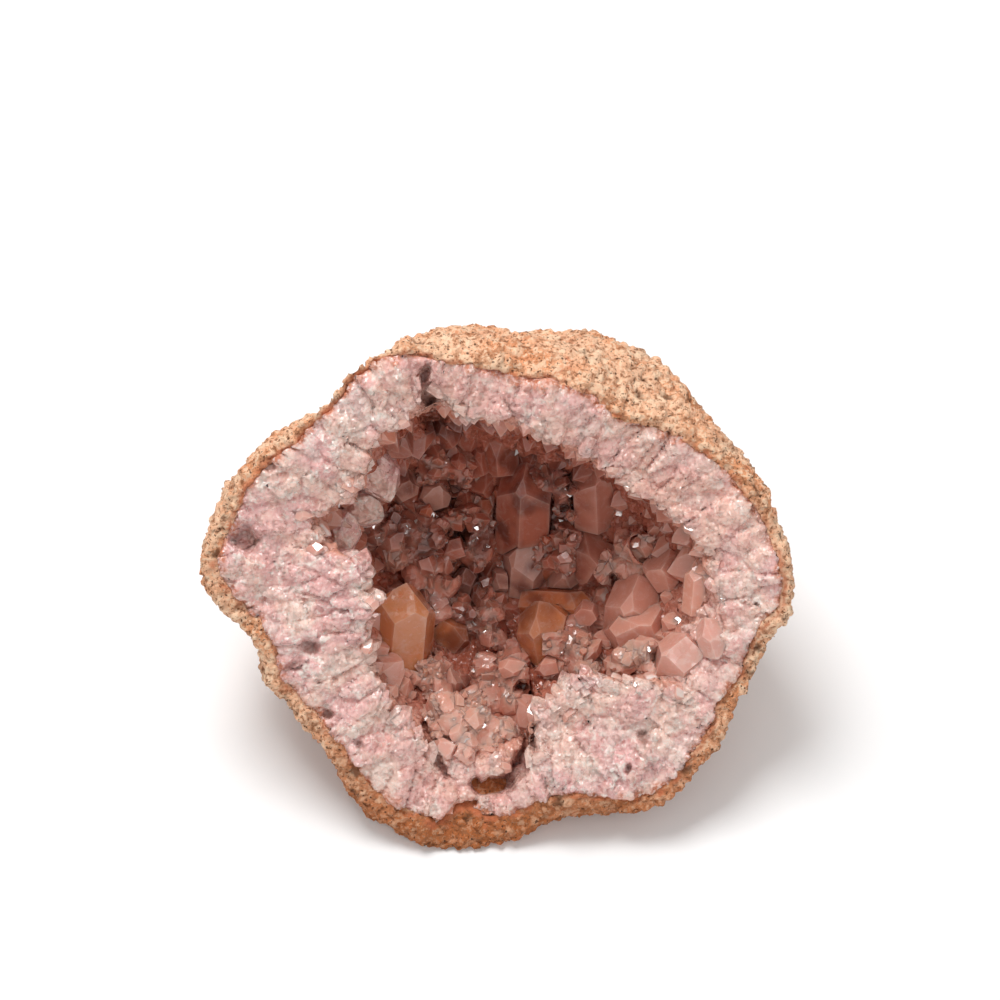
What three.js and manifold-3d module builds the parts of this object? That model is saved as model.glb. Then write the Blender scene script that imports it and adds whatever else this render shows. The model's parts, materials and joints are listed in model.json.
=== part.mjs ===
// Half of a pink quartz geode, lying on its flattened underside with the broken face turned up.
// Three.js scene graph in millimetres, +Z up, the face looking towards -Y and up.
//
// The stone is laid out in face coordinates: u to the right, v up along the broken face and w out
// of it. A depth d is counted behind the face, so d = -w.
import * as THREE from "three";
import { mergeVertices } from "three/addons/utils/BufferGeometryUtils.js";
import Module from "manifold-3d";

const wasm = await Module();
wasm.setup();

// ---------------------------------------------------------------- driving dimensions

const FACE_TILT = THREE.MathUtils.degToRad(38); // how far the broken face looks up
const SIGHT_TILT = THREE.MathUtils.degToRad(22); // line of sight above the face's own normal
const EYE_DISTANCE = 600; // from the middle of the face to where its outlines are seen from
const STONE_DEPTH = 56; // face to the back of the stone
const BASE_LEVEL = -47.5; // height of the flat resting patch, from the middle of the face
const FRONT_SPARE = 14; // how far solids run past the face before it is broken off
const GAP = 0.3; // clearance between neighbouring solids
const OVERSHOOT = 4; // how far the cavity's cutter runs past the spare front
const RAY_START = 200; // in front of the face, where the search for a crystal's seat begins
const SEAT_DEPTH = 3; // least depth behind the face at which a crystal is rooted

// How the stone's sections close towards its back, and the depths by which their outline is soft
// and their swellings are full.
const STONE = { crowding: 1.1, fullness: 0.8, softBy: 26, swollenBy: 4 };
const GROUND = { width: 300, depth: 100, shave: 0.4 }; // what is cut off under the resting patch
const RIND = { mean: 3.3, swing: 0.9, thickest: THREE.MathUtils.degToRad(262), even: 34 };
const BREAK = { cell: 7.1, jitter: 0.3, roughness: 1.1, bevel: 0.16, bevelBy: 20, reach: 78 };
const CAVITY = { depth: 41, blend: 12, share: 0.7, rimShare: 0.7, square: 2.2, centre: [3, 7] };
// Shares of a crystal's radius, each as the least and how much is left to chance.
const CRYSTAL = { taper: 1.04, off: 0.5, facetSpare: [0.15, 0.4], flat: [0.82, 0.3] };
// A cluster's mound and how far it sits in the wall, as shares of its radius, then how its
// crystals fan out and turn, in radians, and their thickness and length.
const CLUSTER = {
  mound: 0.95, sink: 0.35, spread: 1.15, turn: 2.4, jitter: 0.6, thick: [0.8, 0.5],
  long: [0.7, 0.9],
};
const CLUSTER_FOCUS = [3, 6, 5]; // clusters lean to here: right, up and towards the viewer
const FACET_TILT = THREE.MathUtils.degToRad(38.2); // quartz tip facets, above the prism's side
const AROUND = 56; // points round each section
const STONE_RINGS = 10;
const CAVITY_RINGS = 8;

// Outer edge of the broken face, u and v, as they look from EYE_DISTANCE.
const RIM = [
  [-60, 8.6], [-58, 14], [-55, 19.8], [-51.4, 27], [-47, 31.7], [-41.8, 35], [-39.4, 38.8],
  [-34.4, 43], [-30.8, 49], [-26.4, 52.6], [-20.5, 55], [-13.4, 52.8], [-9, 50.5], [-4, 51.5],
  [2, 47.5], [8.6, 47.5], [17, 45.5], [22.6, 40.6], [28.6, 37], [36, 35], [46.2, 29.5],
  [50.6, 25.5], [54.2, 20.5], [57, 14.7], [59.2, 8.2], [60.2, 0], [59, -4.7], [54.2, -9.7],
  [53, -16], [49, -22], [45.7, -26], [45.3, -31.4], [41, -36.7], [37, -42.3], [30.6, -45.7],
  [22, -46.5], [13, -46], [7.8, -49.5], [2, -52.3], [-7.7, -54.2], [-14, -52.8], [-20.4, -49],
  [-27.2, -44.7], [-31.2, -39.5], [-33.8, -34.3], [-37, -30.2], [-41.8, -23.7], [-46.2, -18.8],
  [-47.2, -11.9], [-51, -6], [-56, -1.5], [-58.8, 2.8],
];

// Edge of the cavity where it meets the broken face, u and v, as they look from EYE_DISTANCE.
const THROAT = [
  [-36.5, 13], [-39, 18.3], [-30.2, 19.8], [-26.2, 23.7], [-26.4, 30.2], [-25, 36], [-21, 35.5],
  [-17.6, 41], [-17, 47], [-13.4, 50], [-10.2, 43.6], [-7.4, 38.2], [-1.6, 37.6], [3.4, 40.4],
  [8.6, 34.6], [13.6, 32], [20.2, 31], [24, 25.9], [25.5, 18.5], [32.6, 16.2], [40.6, 12.5],
  [44.8, 6.5], [45, 1], [48.6, -5.5], [48, -12], [44, -17.4], [38, -22.2], [30.8, -19.6],
  [21.8, -17.6], [11.5, -13.8], [8.4, -18.3], [5.6, -23.3], [6.8, -29], [7.8, -36], [0.6, -41.2],
  [-6.8, -42.2], [-11, -37.7], [-14.4, -33.6], [-17.8, -28.8], [-21.6, -22.6], [-24.4, -16.4],
  [-23.8, -10.6], [-25.8, -6.4], [-23.8, -1.6], [-23.6, 4.6], [-27.4, 8.6], [-33, 7.6],
];

// Where the rind is thicker or thinner: direction from the middle, width in radians and amount.
const RIND_SWELLS = [
  { towards: THREE.MathUtils.degToRad(262), width: 0.26, extra: 2.8 },
  { towards: THREE.MathUtils.degToRad(128), width: 0.3, extra: -1.2 },
  { towards: THREE.MathUtils.degToRad(176), width: 0.26, extra: 0.8 },
];

// Swellings and hollows of the outside: where they are, how wide and how high.
const LUMPS = [
  { at: [-6, 53, -17], width: 13, height: 5.5 },
  { at: [22, 44, -20], width: 14, height: 6.5 },
  { at: [38, 34, -18], width: 9, height: 2 },
  { at: [-33, 45, -20], width: 14, height: -7.5 },
  { at: [9, 50, -20], width: 6, height: -4 },
  { at: [-9, -54, -8], width: 13, height: 9 },
  { at: [25, -44, -12], width: 10, height: 3 },
  { at: [-48, 8, -22], width: 15, height: 3 },
  { at: [50, 5, -28], width: 14, height: 2 },
  { at: [-30, -26, -38], width: 14, height: 4 },
  { at: [24, 22, -52], width: 15, height: 5 },
  { at: [-14, 26, -52], width: 13, height: 3.5 },
  { at: [2, 4, -58], width: 9, height: -3 },
];

// Peaks and dips of the broken face.
const FACE_LUMPS = [
  { at: [-28, 4], width: 6, height: 4 },
  { at: [25, -30], width: 12, height: 1.8 },
  { at: [-33, -8], width: 10, height: 1.2 },
  { at: [-14, 50], width: 6, height: -3 },
  { at: [10, 40], width: 14, height: -2.2 },
  { at: [38, 24], width: 11, height: -2.5 },
  { at: [-4, -46], width: 9, height: -3 },
  { at: [46, -18], width: 8, height: -2.5 },
];

const MATERIALS = {
  rind: { color: 0xdca877, roughness: 0.95 },
  wall: { color: 0xdcbcc0, roughness: 0.35 },
  pink: { color: 0xc08a80, roughness: 0.15 },
  clear: { color: 0xd8c4be, roughness: 0.1 },
  amber: { color: 0xc8743a, roughness: 0.15 },
};

// Single crystals. Where each sits and which way it grows are given as they look along the line
// of sight: right, up and, for the growth, towards the viewer.
const CRYSTALS = [
  // name, right, up, radius, length, [right, up, towards], finish
  ["amber_point_left", -20, -9, 5.2, 15, [0.1, 0.85, 0.5], "amber"],
  ["amber_point_centre", 10.5, -9, 5, 12, [-0.15, 0.75, 0.65], "amber"],
  ["golden_prism", 9, -1, 3.2, 13, [0.88, -0.05, 0.48], "amber"],
  ["orange_blade", -6, 6.5, 1.8, 6, [0.6, 0.6, 0.5], "amber"],
  ["orange_mound_point", -10, -7, 4, 6, [-0.2, 0.3, 0.9], "amber"],
  ["bright_point_centre", 6, 6, 4.2, 9, [0.05, 0.75, 0.65], "clear"],
  ["clear_tablet", 1, 4, 2.6, 5, [-0.3, 0.3, 0.9], "clear"],
  ["clear_point_centre", 14, 4, 2.6, 6, [0.5, 0.5, 0.7], "clear"],
  ["clear_point_left", -7, 3, 2.4, 6, [0.1, 0.6, 0.75], "clear"],
  ["brown_column_back", 6, 16, 5.6, 16, [0.03, 0.82, 0.57], "pink"],
  ["brown_column_right", 20.5, 20, 4.2, 12, [-0.05, 0.8, 0.6], "pink"],
  ["blunt_block_right", 20, 10.5, 6.4, 8, [0.1, -0.25, 0.97], "pink"],
  ["pink_block_right", 36, 7, 5.4, 7, [-0.3, 0.05, 0.95], "pink"],
  ["facet_point_right", 28.5, -3, 5, 10, [0.05, 0.8, 0.6], "pink"],
  ["pink_block_low", 30, -6.5, 5.4, 8, [0.15, 0.1, 0.98], "pink"],
  ["slim_pillar", 41, 0, 2.6, 8, [0.05, 0.9, 0.4], "pink"],
  ["grey_point_right", 38, -10.5, 4.6, 6, [0.1, 0.6, 0.8], "clear"],
  ["grey_point_rim", 44, -7.5, 3.2, 5, [-0.3, 0.8, 0.5], "clear"],
  ["hanging_point_left", -25, 27, 4, 8, [0.4, -0.8, 0.45], "wall"],
  ["ledge_point_left", -30, 19, 4, 8, [0.8, -0.35, 0.5], "wall"],
  ["side_point_left", -33, 12, 3.6, 9, [0.35, 0.6, 0.7], "wall"],
  ["bright_point_back", -20, 24, 3.2, 6, [0.35, 0.1, 0.9], "clear"],
  ["bright_point_roof", -13.4, 22, 3.3, 7, [0.25, 0.15, 0.95], "clear"],
  ["bright_point_floor", -10, -19, 2.4, 6, [0.05, 0.8, 0.6], "clear"],
  ["pale_point_front", -11, -31, 2.4, 4, [0.6, 0.3, 0.7], "clear"],
];

// Clusters of small crystals, each grown together on one mound.
const CLUSTERS = [
  // name, right, up, mound radius, crystals, crystal radius, finish
  ["druse_floor_front", -7, -28, 10, 6, 4, "pink"],
  ["druse_floor_middle", 1, -18, 8, 5, 3.4, "pink"],
  ["druse_floor_left", -15, -17, 7, 5, 3.2, "pink"],
  ["druse_centre", -4, -4, 8, 5, 3.4, "pink"],
  ["druse_centre_left", -14, 3, 7, 5, 3, "pink"],
  ["druse_mound_right", 17, -11, 9, 6, 3, "pink"],
  ["druse_right_low", 30.5, -12.5, 6, 5, 3, "clear"],
  ["druse_right_high", 31, 9, 7, 5, 3.2, "pink"],
  ["druse_back_left", -16, 13, 8, 5, 3.4, "pink"],
  ["druse_back_centre", -6, 15, 8, 5, 3.4, "pink"],
  ["druse_back_right", 13, 12, 7, 5, 3.2, "pink"],
  ["druse_upper_left", -11, 28, 7, 5, 3.2, "pink"],
  ["druse_upper_right", 13, 24, 7, 5, 3, "pink"],
  ["druse_left_wall", -24, 12, 6, 5, 3, "pink"],
];

// ---------------------------------------------------------------- helpers

// A small repeatable random generator, 0 to 1.
function randomFrom(seed) {
  let state = seed >>> 0;
  return () => {
    state = (state + 0x6d2b79f5) >>> 0;
    let t = Math.imul(state ^ (state >>> 15), 1 | state);
    t = (t + Math.imul(t ^ (t >>> 7), 61 | t)) ^ t;
    return ((t ^ (t >>> 14)) >>> 0) / 4294967296;
  };
}

// Face coordinates to the stone's own frame.
function placed(u, v, w) {
  const sine = Math.sin(FACE_TILT);
  const cosine = Math.cos(FACE_TILT);
  return new THREE.Vector3(u, v * sine - w * cosine, v * cosine + w * sine);
}

// Same turn, for a direction or a whole geometry laid out along u, v and w.
const FACE_TURN = new THREE.Matrix4().makeBasis(placed(1, 0, 0), placed(0, 1, 0), placed(0, 0, 1));

function bell(distance, width) {
  return Math.exp(-0.5 * (distance / width) ** 2);
}

function lumpsAt(lumps, point) {
  return lumps.reduce((sum, lump) => {
    const apart = Math.hypot(...lump.at.map((x, i) => x - point[i]));
    return sum + lump.height * bell(apart, lump.width);
  }, 0);
}

// Slow waves that keep the outside from looking turned.
function waves(u, v, w) {
  const slow = Math.sin(u * 0.13 + 1.1) * Math.sin(v * 0.15 - 0.6 + w * 0.07);
  const quick = Math.sin(u * 0.31 + w * 0.22) * Math.sin(v * 0.27 + 2.0 - w * 0.19);
  return 1.1 * slow + 0.6 * quick;
}

// A point of an outline put on the face: the upper half is nearer to the eye and looks larger.
function onFace([u, v]) {
  const share = 1 - (v * Math.sin(SIGHT_TILT)) / EYE_DISTANCE;
  return new THREE.Vector3(u * share, v * share, 0);
}

// Evenly spaced points on a smooth closed outline.
function outline(points) {
  const curve = new THREE.CatmullRomCurve3(points.map(onFace), true, "centripetal");
  return curve.getSpacedPoints(AROUND).slice(0, AROUND);
}

// The outline with each point's distance from the middle averaged over its neighbours.
function softened(points, reach) {
  return points.map((point, i) => {
    let sum = 0;
    for (let k = -reach; k <= reach; k++) sum += points.at((i + k) % points.length).length();
    return point.clone().setLength(sum / (2 * reach + 1));
  });
}

// Closed skin through rings of [u, v, w] points, from a front cap to a point at the back.
function skin(rings, frontCentre, backTip) {
  const positions = [frontCentre, ...rings.flat(), backTip].flatMap((p) => placed(...p).toArray());
  const tip = rings.length * AROUND + 1;
  const at = (ring, i) => 1 + ring * AROUND + (i % AROUND);
  const index = [];
  for (let i = 0; i < AROUND; i++) {
    index.push(0, at(0, i + 1), at(0, i));
    for (let ring = 0; ring + 1 < rings.length; ring++) {
      index.push(at(ring, i), at(ring, i + 1), at(ring + 1, i));
      index.push(at(ring, i + 1), at(ring + 1, i + 1), at(ring + 1, i));
    }
    index.push(at(rings.length - 1, i), at(rings.length - 1, i + 1), tip);
  }
  const geometry = new THREE.BufferGeometry();
  geometry.setAttribute("position", new THREE.Float32BufferAttribute(positions, 3));
  geometry.setIndex(index);
  return geometry;
}

// The geometry with every vertex moved in along its normal by distance(u, v).
function shrunk(geometry, distance) {
  const inner = geometry.clone();
  inner.computeVertexNormals();
  const { position, normal } = inner.attributes;
  const back = FACE_TURN.clone().invert();
  for (let i = 0; i < position.count; i++) {
    const point = new THREE.Vector3().fromBufferAttribute(position, i);
    const face = point.clone().applyMatrix4(back);
    const away = new THREE.Vector3().fromBufferAttribute(normal, i);
    point.addScaledVector(away, -distance(face.x, face.y));
    position.setXYZ(i, ...point.toArray());
  }
  return inner;
}

// A closed geometry as a manifold-3d solid.
function solid(geometry) {
  const bare = geometry.clone();
  bare.deleteAttribute("normal");
  bare.deleteAttribute("uv");
  const merged = mergeVertices(bare, 1e-4);
  return new wasm.Manifold(new wasm.Mesh({
    numProp: 3,
    vertProperties: merged.attributes.position.array,
    triVerts: new Uint32Array(merged.index.array),
  }));
}

// The largest separate body of a solid, as a three.js geometry.
function geometryOf(made) {
  const largest = made.decompose().sort((a, b) => b.volume() - a.volume())[0];
  const mesh = largest.getMesh();
  const geometry = new THREE.BufferGeometry();
  geometry.setAttribute("position", new THREE.Float32BufferAttribute(mesh.vertProperties, 3));
  geometry.setIndex(new THREE.Uint32BufferAttribute(mesh.triVerts, 1));
  geometry.computeVertexNormals();
  return geometry;
}

// ---------------------------------------------------------------- outside of the stone

const rim = outline(RIM);
const softRim = softened(rim, 6);
const throat = outline(THROAT);
const softThroat = softened(throat, 5);

function mix(a, b, share) {
  return a + (b - a) * share;
}

// The whole stone, running straight on in front of the face, and flat where it will rest.
function stoneSkin() {
  const rings = [rim.map((p) => [p.x, p.y, FRONT_SPARE])];
  for (let ring = 0; ring < STONE_RINGS; ring++) {
    const turn = (ring / STONE_RINGS) ** STONE.crowding * (Math.PI / 2);
    const w = -STONE_DEPTH * Math.sin(turn);
    const scale = Math.cos(turn) ** STONE.fullness;
    const soft = THREE.MathUtils.smoothstep(-w, 0, STONE.softBy);
    const fade = Math.min(1, -w / STONE.swollenBy);
    rings.push(rim.map((p, i) => {
      const edge = p.clone().lerp(softRim[i], soft);
      const [u, v] = [edge.x * scale, edge.y * scale];
      const swell = (lumpsAt(LUMPS, [u, v, w]) + waves(u, v, w)) * fade;
      const out = (swell * Math.cos(turn)) / edge.length();
      return [u + edge.x * out, v + edge.y * out, w - swell * Math.sin(turn)];
    }));
  }
  const tip = STONE_DEPTH + lumpsAt(LUMPS, [0, 0, -STONE_DEPTH]) + waves(0, 0, -STONE_DEPTH);
  const geometry = skin(rings, [0, 0, FRONT_SPARE], [0, 0, -tip]);
  const { position } = geometry.attributes;
  for (let i = 0; i < position.count; i++) {
    position.setZ(i, Math.max(position.getZ(i), BASE_LEVEL));
  }
  return geometry;
}

// The rind varies round the rim and is even at the back, where u and v are small.
function rindThickness(u, v) {
  const turn = Math.atan2(v, u);
  const swells = RIND_SWELLS.reduce((sum, { towards, width, extra }) => {
    const apart = Math.atan2(Math.sin(turn - towards), Math.cos(turn - towards));
    return sum + extra * bell(apart, width);
  }, 0);
  const share = THREE.MathUtils.smoothstep(Math.hypot(u, v), 0, RIND.even);
  return RIND.mean + share * (RIND.swing * Math.cos(turn - RIND.thickest) + swells);
}

// Distance from the middle of the face to the rim, in the direction of u, v.
function rimReach(u, v) {
  const along = new THREE.Vector3(u, v, 0).normalize();
  const nearest = rim.reduce((a, b) => (
    b.dot(along) / b.length() > a.dot(along) / a.length() ? b : a));
  return nearest.length();
}

// ---------------------------------------------------------------- cavity

// One point of the cavity's section at a depth. The section widens under the broken face and
// closes towards the back.
function cavityPoint(i, depth) {
  const inside = Math.max(0, depth);
  const ease = THREE.MathUtils.smoothstep(inside, 0, CAVITY.blend);
  const cap = (1 - (inside / CAVITY.depth) ** CAVITY.square) ** (1 / CAVITY.square);
  const edge = throat[i].clone().lerp(softThroat[i], ease);
  const wide = edge.clone().setLength(CAVITY.rimShare * rimReach(edge.x, edge.y));
  edge.lerp(wide, CAVITY.share * ease);
  return [mix(CAVITY.centre[0], edge.x, cap), mix(CAVITY.centre[1], edge.y, cap), -depth];
}

function cavitySkin() {
  const depths = [-FRONT_SPARE - OVERSHOOT];
  for (let ring = 0; ring < CAVITY_RINGS; ring++) {
    depths.push(CAVITY.depth * Math.sin((ring / CAVITY_RINGS) * (Math.PI / 2)));
  }
  const rings = depths.map((depth) => throat.map((_, i) => cavityPoint(i, depth)));
  return skin(rings, [0, 0, FRONT_SPARE + OVERSHOOT], [...CAVITY.centre, -CAVITY.depth]);
}

// ---------------------------------------------------------------- broken face

// Everything in front of the rough face where the stone broke.
function breakSkin() {
  const random = randomFrom(11);
  const wave = () => (random() - 0.5) * 2;
  const steps = Math.round((2 * BREAK.reach) / BREAK.cell);
  const across = steps + 1;
  const low = [];
  for (let row = 0; row < across; row++) {
    for (let column = 0; column < across; column++) {
      const border = row === 0 || column === 0 || row === steps || column === steps;
      const shift = border ? 0 : BREAK.cell * BREAK.jitter;
      const u = (2 * column / steps - 1) * BREAK.reach + wave() * shift;
      const v = (2 * row / steps - 1) * BREAK.reach + wave() * shift;
      const inside = THREE.MathUtils.clamp(
        rimReach(u, v) - Math.hypot(u, v), 0, BREAK.bevelBy);
      const rough = wave() * BREAK.roughness;
      low.push([u, v, rough - inside * BREAK.bevel + lumpsAt(FACE_LUMPS, [u, v])]);
    }
  }
  const high = low.map(([u, v]) => [u, v, FRONT_SPARE * 3]);
  const top = low.length;
  const index = [];
  const quad = (a, b, c, d) => index.push(a, b, c, a, c, d);
  for (let row = 0; row < steps; row++) {
    for (let column = 0; column < steps; column++) {
      const a = row * across + column;
      quad(a, a + across, a + across + 1, a + 1);
      quad(top + a, top + a + 1, top + a + across + 1, top + a + across);
    }
    const left = row * across;
    const right = left + steps;
    const last = steps * across + row;
    quad(left, top + left, top + left + across, left + across);
    quad(right, right + across, top + right + across, top + right);
    quad(row, row + 1, top + row + 1, top + row);
    quad(last, top + last, top + last + 1, last + 1);
  }
  const geometry = new THREE.BufferGeometry();
  const positions = [...low, ...high].flatMap((p) => placed(...p).toArray());
  geometry.setAttribute("position", new THREE.Float32BufferAttribute(positions, 3));
  geometry.setIndex(index);
  return geometry;
}

// ---------------------------------------------------------------- crystals

// A direction or offset seen along the line of sight, in the stone's own frame.
function sighted(right, up, towards) {
  const sine = Math.sin(SIGHT_TILT);
  const cosine = Math.cos(SIGHT_TILT);
  return placed(right, up * cosine + towards * sine, towards * cosine - up * sine);
}

const cavityTarget = new THREE.Mesh(
  cavitySkin(), new THREE.MeshBasicMaterial({ side: THREE.DoubleSide }));

// Where the line of sight through right, up first meets the cavity's wall behind the face.
function seat(right, up) {
  const ray = new THREE.Raycaster(sighted(right, up, RAY_START), sighted(0, 0, -1));
  const out = placed(0, 0, 1);
  const hit = ray.intersectObject(cavityTarget).find(({ point }) => point.dot(out) < -SEAT_DEPTH);
  if (!hit) throw new Error(`no cavity wall behind the face at ${right}, ${up}`);
  return hit.point;
}

// A number with a least value and a part left to chance.
function varied([least, chance], random) {
  return least + chance * random();
}

// A six-sided quartz prism with a pointed end, from a root through its length, every face moved
// out by grow.
function crystal(root, growth, radius, length, random, grow = 0) {
  const corner = (radius + grow) / Math.cos(Math.PI / 6);
  const height = length + 2 * grow;
  let made = solid(new THREE.CylinderGeometry(corner, corner * CRYSTAL.taper, height, 6)
    .rotateX(Math.PI / 2).translate(0, 0, height / 2 - grow));
  const size = 6 * corner + height;
  const off = [0, 1].map(() => (random() - 0.5) * CRYSTAL.off * radius);
  const up = new THREE.Vector3(0, 0, 1);
  for (let side = 0; side < 6; side++) {
    const turn = (side + 0.5) * (Math.PI / 3);
    const facet = new THREE.Vector3(
      Math.cos(turn) * Math.cos(FACET_TILT), Math.sin(turn) * Math.cos(FACET_TILT),
      Math.sin(FACET_TILT));
    const spare = (side % 2) * varied(CRYSTAL.facetSpare, random) * radius;
    const through = new THREE.Vector3(...off, length + spare).addScaledVector(facet, grow);
    const turned = new THREE.Quaternion().setFromUnitVectors(up, facet);
    const cutter = new THREE.BoxGeometry(size, size, size).applyQuaternion(turned)
      .translate(...through.addScaledVector(facet, size / 2).toArray());
    made = made.subtract(solid(cutter));
  }
  const flat = varied(CRYSTAL.flat, random);
  const spin = new THREE.Quaternion().setFromAxisAngle(up, random() * Math.PI);
  const lean = new THREE.Quaternion().setFromUnitVectors(up, growth.clone().normalize());
  const place = new THREE.Matrix4().compose(root, lean.multiply(spin), new THREE.Vector3(1, flat, 1));
  return made.transform(place.elements);
}

// A single crystal rooted in the wall.
function singleCrystal([name, right, up, radius, length, growth], grow) {
  const random = randomFrom(name.length * 97 + Math.round(right * 13 + up * 7 + 1000));
  const way = sighted(...growth).normalize();
  const root = seat(right, up).addScaledVector(way, -radius);
  return crystal(root, way, radius, length + radius, random, grow);
}

// A mound with crystals growing out of it all round its top.
function cluster([name, right, up, moundRadius, count, radius], grow) {
  const random = randomFrom(name.length * 131 + Math.round(right * 17 + up * 11 + 1000));
  const foot = seat(right, up);
  const inward = sighted(...CLUSTER_FOCUS).sub(foot).normalize();
  const way = sighted(0, 0.25, 1).lerp(inward, 0.5).normalize();
  const centre = foot.clone().addScaledVector(way, -CLUSTER.sink * moundRadius);
  const mound = new THREE.IcosahedronGeometry(moundRadius * CLUSTER.mound + grow, 0)
    .translate(...centre.toArray());
  const frame = new THREE.Quaternion().setFromUnitVectors(new THREE.Vector3(0, 0, 1), way);
  let made = solid(mound);
  for (let k = 0; k < count; k++) {
    const spread = Math.sqrt((k + 0.3) / count) * CLUSTER.spread;
    const turn = k * CLUSTER.turn + random() * CLUSTER.jitter;
    const growth = new THREE.Vector3(
      Math.cos(turn) * Math.sin(spread), Math.sin(turn) * Math.sin(spread), Math.cos(spread))
      .applyQuaternion(frame);
    const thick = radius * varied(CLUSTER.thick, random);
    const long = moundRadius + radius * varied(CLUSTER.long, random);
    made = made.add(crystal(centre, growth, thick, long, random, grow));
  }
  return made;
}

// ---------------------------------------------------------------- build

const geode = new THREE.Group();

function addPiece(name, made, finish) {
  const material = new THREE.MeshStandardMaterial({ metalness: 0, ...MATERIALS[finish] });
  const mesh = new THREE.Mesh(geometryOf(made), material);
  mesh.name = name;
  geode.add(mesh);
}

const outside = stoneSkin();
const inside = solid(shrunk(outside, (u, v) => rindThickness(u, v)));
const core = solid(shrunk(outside, (u, v) => rindThickness(u, v) + GAP));
const cavity = solid(cavityTarget.geometry);
const room = solid(shrunk(cavityTarget.geometry, () => GAP));
const broken = solid(breakSkin());
const ground = solid(new THREE.BoxGeometry(GROUND.width, GROUND.width, GROUND.depth)
  .translate(0, 0, BASE_LEVEL + GROUND.shave - GROUND.depth / 2));

addPiece("rind", solid(outside).subtract(inside).subtract(broken).subtract(ground), "rind");
addPiece("quartz_wall", core.subtract(cavity).subtract(broken), "wall");

// Each crystal or cluster keeps clear of the wall and of those before it.
let taken = null;
const addGrown = (make, spec, finish) => {
  const whole = make(spec, 0).intersect(room);
  addPiece(spec[0], taken ? whole.subtract(taken) : whole, finish);
  const grown = make(spec, GAP);
  taken = taken ? taken.add(grown) : grown;
};
for (const spec of CRYSTALS) addGrown(singleCrystal, spec, spec[6]);
for (const spec of CLUSTERS) addGrown(cluster, spec, spec[6]);

const box = new THREE.Box3().setFromObject(geode);
geode.position.set(-(box.min.x + box.max.x) / 2, -(box.min.y + box.max.y) / 2, -box.min.z);

export default geode;
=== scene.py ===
import json
import math

import bmesh
import bpy
import numpy as np
from mathutils import Euler, Matrix, Vector
from mathutils.bvhtree import BVHTree


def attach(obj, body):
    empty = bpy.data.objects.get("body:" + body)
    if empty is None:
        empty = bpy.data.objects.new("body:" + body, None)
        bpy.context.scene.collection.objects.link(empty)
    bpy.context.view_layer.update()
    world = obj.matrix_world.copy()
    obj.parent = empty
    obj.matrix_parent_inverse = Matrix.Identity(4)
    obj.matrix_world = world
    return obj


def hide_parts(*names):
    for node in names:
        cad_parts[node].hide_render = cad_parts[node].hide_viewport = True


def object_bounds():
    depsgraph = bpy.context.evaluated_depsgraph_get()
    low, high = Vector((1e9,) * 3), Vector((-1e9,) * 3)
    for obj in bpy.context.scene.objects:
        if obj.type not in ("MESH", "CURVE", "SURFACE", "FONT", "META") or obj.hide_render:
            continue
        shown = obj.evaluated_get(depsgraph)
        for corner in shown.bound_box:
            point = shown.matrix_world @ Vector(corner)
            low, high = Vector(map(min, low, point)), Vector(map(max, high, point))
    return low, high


bl_info = {
    "name": "Geode Half",
    "version": (1, 0, 0),
    "blender": (4, 5, 0),
    "location": "3D View > Sidebar > Geode",
    "description": "Half of a pink quartz geode with its rind, quartz wall and crystal lining",
    "category": "Add Mesh",
}

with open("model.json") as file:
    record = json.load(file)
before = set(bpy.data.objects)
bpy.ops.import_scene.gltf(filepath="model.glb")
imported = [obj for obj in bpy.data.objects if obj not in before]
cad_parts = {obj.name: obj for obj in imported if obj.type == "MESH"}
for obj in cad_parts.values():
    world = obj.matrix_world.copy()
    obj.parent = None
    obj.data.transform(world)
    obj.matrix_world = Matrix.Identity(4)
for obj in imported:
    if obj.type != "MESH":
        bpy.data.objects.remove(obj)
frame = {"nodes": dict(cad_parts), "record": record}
CAD_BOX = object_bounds()

MM = 0.001
FACE_TILT = math.radians(38)  # how far the broken face looks up
SIGHT_HEIGHT = math.radians(60)  # elevation of the line of sight
# Middle of the broken face, measured from the front and the underside of the model's box.
FACE_BEHIND_FRONT = 33.7 * MM
FACE_ABOVE_BASE = 47.1 * MM
FACE_MIDDLE = Vector((
    (CAD_BOX[0].x + CAD_BOX[1].x) / 2,
    CAD_BOX[0].y + FACE_BEHIND_FRONT,
    CAD_BOX[0].z + FACE_ABOVE_BASE,
))
FACE_UP = Vector((0, math.sin(FACE_TILT), math.cos(FACE_TILT)))
FACE_OUT = Vector((0, -math.cos(FACE_TILT), math.sin(FACE_TILT)))
SIGHT_BACK = Vector((0, -math.cos(SIGHT_HEIGHT), math.sin(SIGHT_HEIGHT)))
SIGHT_UP = Vector((0, math.sin(SIGHT_HEIGHT), math.cos(SIGHT_HEIGHT)))
CAMERA_AIM = SIGHT_UP * 20 * MM + Vector((0.6 * MM, 0, 0))  # from the middle of the face
CAVITY_FOCUS = FACE_MIDDLE + FACE_UP * 2 * MM - FACE_OUT * 4 * MM
KEY_PLACE = Vector((-0.12, 0.15, 0.6))  # of the main light, from the middle of the stone
FRONT_PLACE = Vector((0.30, -0.5, 0.35))  # of the light that reaches into the cavity
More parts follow.
